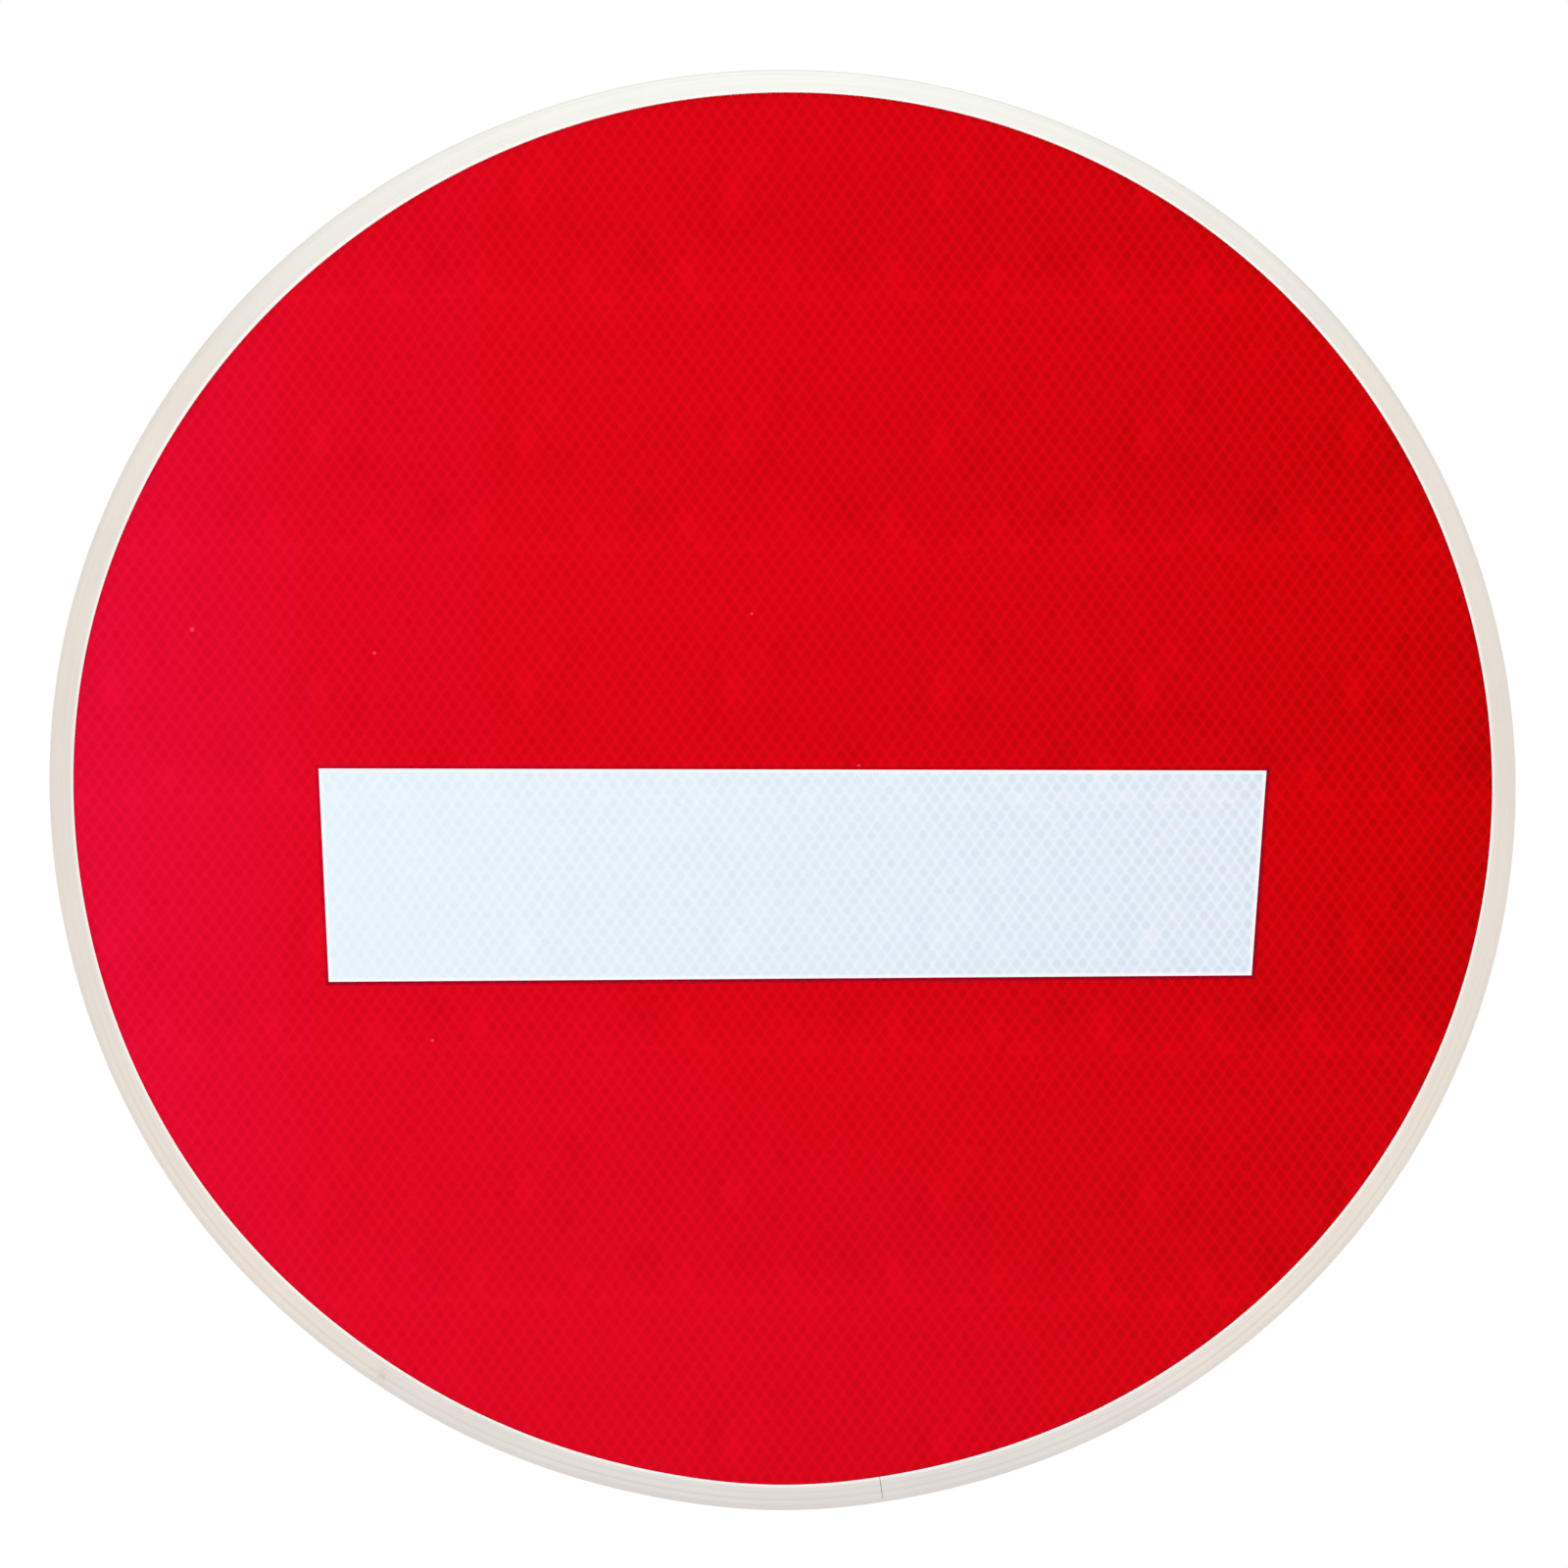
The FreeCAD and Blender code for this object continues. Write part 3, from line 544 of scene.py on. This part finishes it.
# Two stainless screws hold the strip behind the joint. Each has a low round head with a hexagon socket, and
# goes in from behind through the strip and the rim's back leg, into the plate.
screw_low, screw_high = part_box("splice_screws")
SHANK_END = screw_low.y / MM
HEAD_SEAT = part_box("joint_splice")[1].y / MM
HEAD_TOP = screw_high.y / MM
SOCKET_REACH = 1.6
SOCKET_WIDTH = 2.5
SOCKET_DEPTH = 1.2
SHANK_RADIUS = 1.5
HEAD_RADIUS = 3.0
SCREW_SIDE = [(0, SHANK_END), (SHANK_RADIUS, SHANK_END), (SHANK_RADIUS, HEAD_SEAT), (HEAD_RADIUS, HEAD_SEAT),
              (HEAD_RADIUS, HEAD_SEAT + 0.9),
              (2.9, HEAD_SEAT + 1.4), (2.7, HEAD_SEAT + 1.76), (2.4, HEAD_TOP), (SOCKET_REACH, HEAD_TOP),
              (SOCKET_REACH, HEAD_TOP - SOCKET_DEPTH), (0, HEAD_TOP - SOCKET_DEPTH)]

# The round socket is drawn in to a hexagon.
screw = turned(SCREW_SIDE, steps=48)
for corner in screw.verts:
    if abs(math.hypot(corner.co.x, corner.co.z) - SOCKET_REACH * MM) < 0.01 * MM:
        turn = math.atan2(corner.co.z, corner.co.x)
        from_flat = (turn + math.pi / 6) % (math.pi / 3) - math.pi / 6
        reach = SOCKET_WIDTH / 2 / math.cos(from_flat) * MM
        corner.co.x = reach * math.cos(turn)
        corner.co.z = reach * math.sin(turn)

screw_metal, shader, place = new_finish("screw_metal", 1.0, 0.3)
grain = place.noise(3.0, detail=2)
grain.rise(0.3, 0.7).colours(shade(176, 176, 178), shade(192, 192, 193)).feeds(shader, "Base Color")
(0.24 + 0.08 * grain).feeds(shader, "Roughness")
grain.dents(shader, 0.006)
SCREW_CIRCLE = 293.5
SCREW_PITCH = 36
screw_turns = [JOINT_TURN + side * SCREW_PITCH / 2 / SCREW_CIRCLE for side in (-1, 1)]
repeat(screw, [(SCREW_CIRCLE * math.sin(turn) * MM, 0, -SCREW_CIRCLE * math.cos(turn) * MM)
               for turn in screw_turns])
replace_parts(new_piece("socket_screws", screw, screw_metal), "splice_screws")

# The sign stands by itself against white, seen from a little below, as it is on its post. A plain pale floor
# lies far under it, where the foot of the post would be.
FLOOR_LEVEL = -3300.0
FLOOR_REACH = 60000.0
ground = bmesh.new()
bmesh.ops.create_grid(ground, x_segments=1, y_segments=1, size=FLOOR_REACH * MM)
bmesh.ops.translate(ground, verts=ground.verts, vec=(0, 0, FLOOR_LEVEL * MM))
floor_mesh = bpy.data.meshes.new("floor")
ground.to_mesh(floor_mesh)
ground.free()
floor_finish, shader, place = new_finish("floor_finish", 0.0, 0.9)
place.noise(0.001, detail=2).colours(shade(236, 236, 236), shade(244, 244, 244)).feeds(shader, "Base Color")
floor_mesh.materials.append(floor_finish)
floor = bpy.data.objects.new("floor", floor_mesh)
bpy.context.scene.collection.objects.link(floor)

# Light comes from the whole sky, a little brighter and cooler above than below, and from one broad lamp high
# in front. To the camera and in reflections the sky is plain white.
sky = bpy.data.worlds.new("sky")
sky.use_nodes = True
bpy.context.scene.world = sky
background = sky.node_tree.nodes["Background"]
facing = Wire(sky.node_tree, sky.node_tree.nodes.new("ShaderNodeTexCoord").outputs["Generated"])
height = facing.part("Z") * 0.5 + 0.5
glow = height.ramp((0.0, (0.92, 0.915, 0.91, 1)), (0.5, (0.945, 0.94, 0.935, 1)),
                   (0.6, (0.985, 0.98, 0.975, 1)), (0.7, (1.03, 1.03, 1.03, 1)), (1.0, (1.05, 1.05, 1.06, 1)))
SHOWN_TO = ("Is Camera Ray", "Is Glossy Ray", "Is Transmission Ray")
shown = sum(facing.node("ShaderNodeLightPath", output=ray) for ray in SHOWN_TO)
shown.colours(glow, (1, 1, 1, 1)).feeds(background, "Color")

LAMP_PLACE = Vector((0.0, -2.6, 3.2))
lamp_light = bpy.data.lights.new("lamp", "AREA")
lamp_light.size = 1.5
lamp_light.energy = 5
lamp = bpy.data.objects.new("lamp", lamp_light)
lamp.location = LAMP_PLACE
lamp.rotation_euler = (-LAMP_PLACE).to_track_quat("-Z", "Y").to_euler()
bpy.context.scene.collection.objects.link(lamp)

# The camera stands far off, in front and a little below, so the sign shows slightly flattened. It looks just
# past the middle of the face, as the photo's frame does.
CAMERA_DISTANCE = 15.0
CAMERA_DROP = math.radians(11.5)
VIEW_WIDTH = 0.6399
AIM_PLACE = Vector((0.00016, -0.0192, 0))
AIM_RISE = 0.00036
toward = Vector((0, math.cos(CAMERA_DROP), math.sin(CAMERA_DROP)))
upward = Vector((0, -math.sin(CAMERA_DROP), math.cos(CAMERA_DROP)))
aim = AIM_PLACE + upward * AIM_RISE
camera_data = bpy.data.cameras.new("camera")
camera_data.angle = 2 * math.atan(VIEW_WIDTH / 2 / CAMERA_DISTANCE)
camera_data.clip_end = 200
camera = bpy.data.objects.new("camera", camera_data)
camera.location = aim - toward * CAMERA_DISTANCE
camera.rotation_euler = toward.to_track_quat("-Z", "Y").to_euler()
bpy.context.scene.collection.objects.link(camera)
bpy.context.scene.camera = camera
bpy.context.scene.view_settings.view_transform = "Standard"
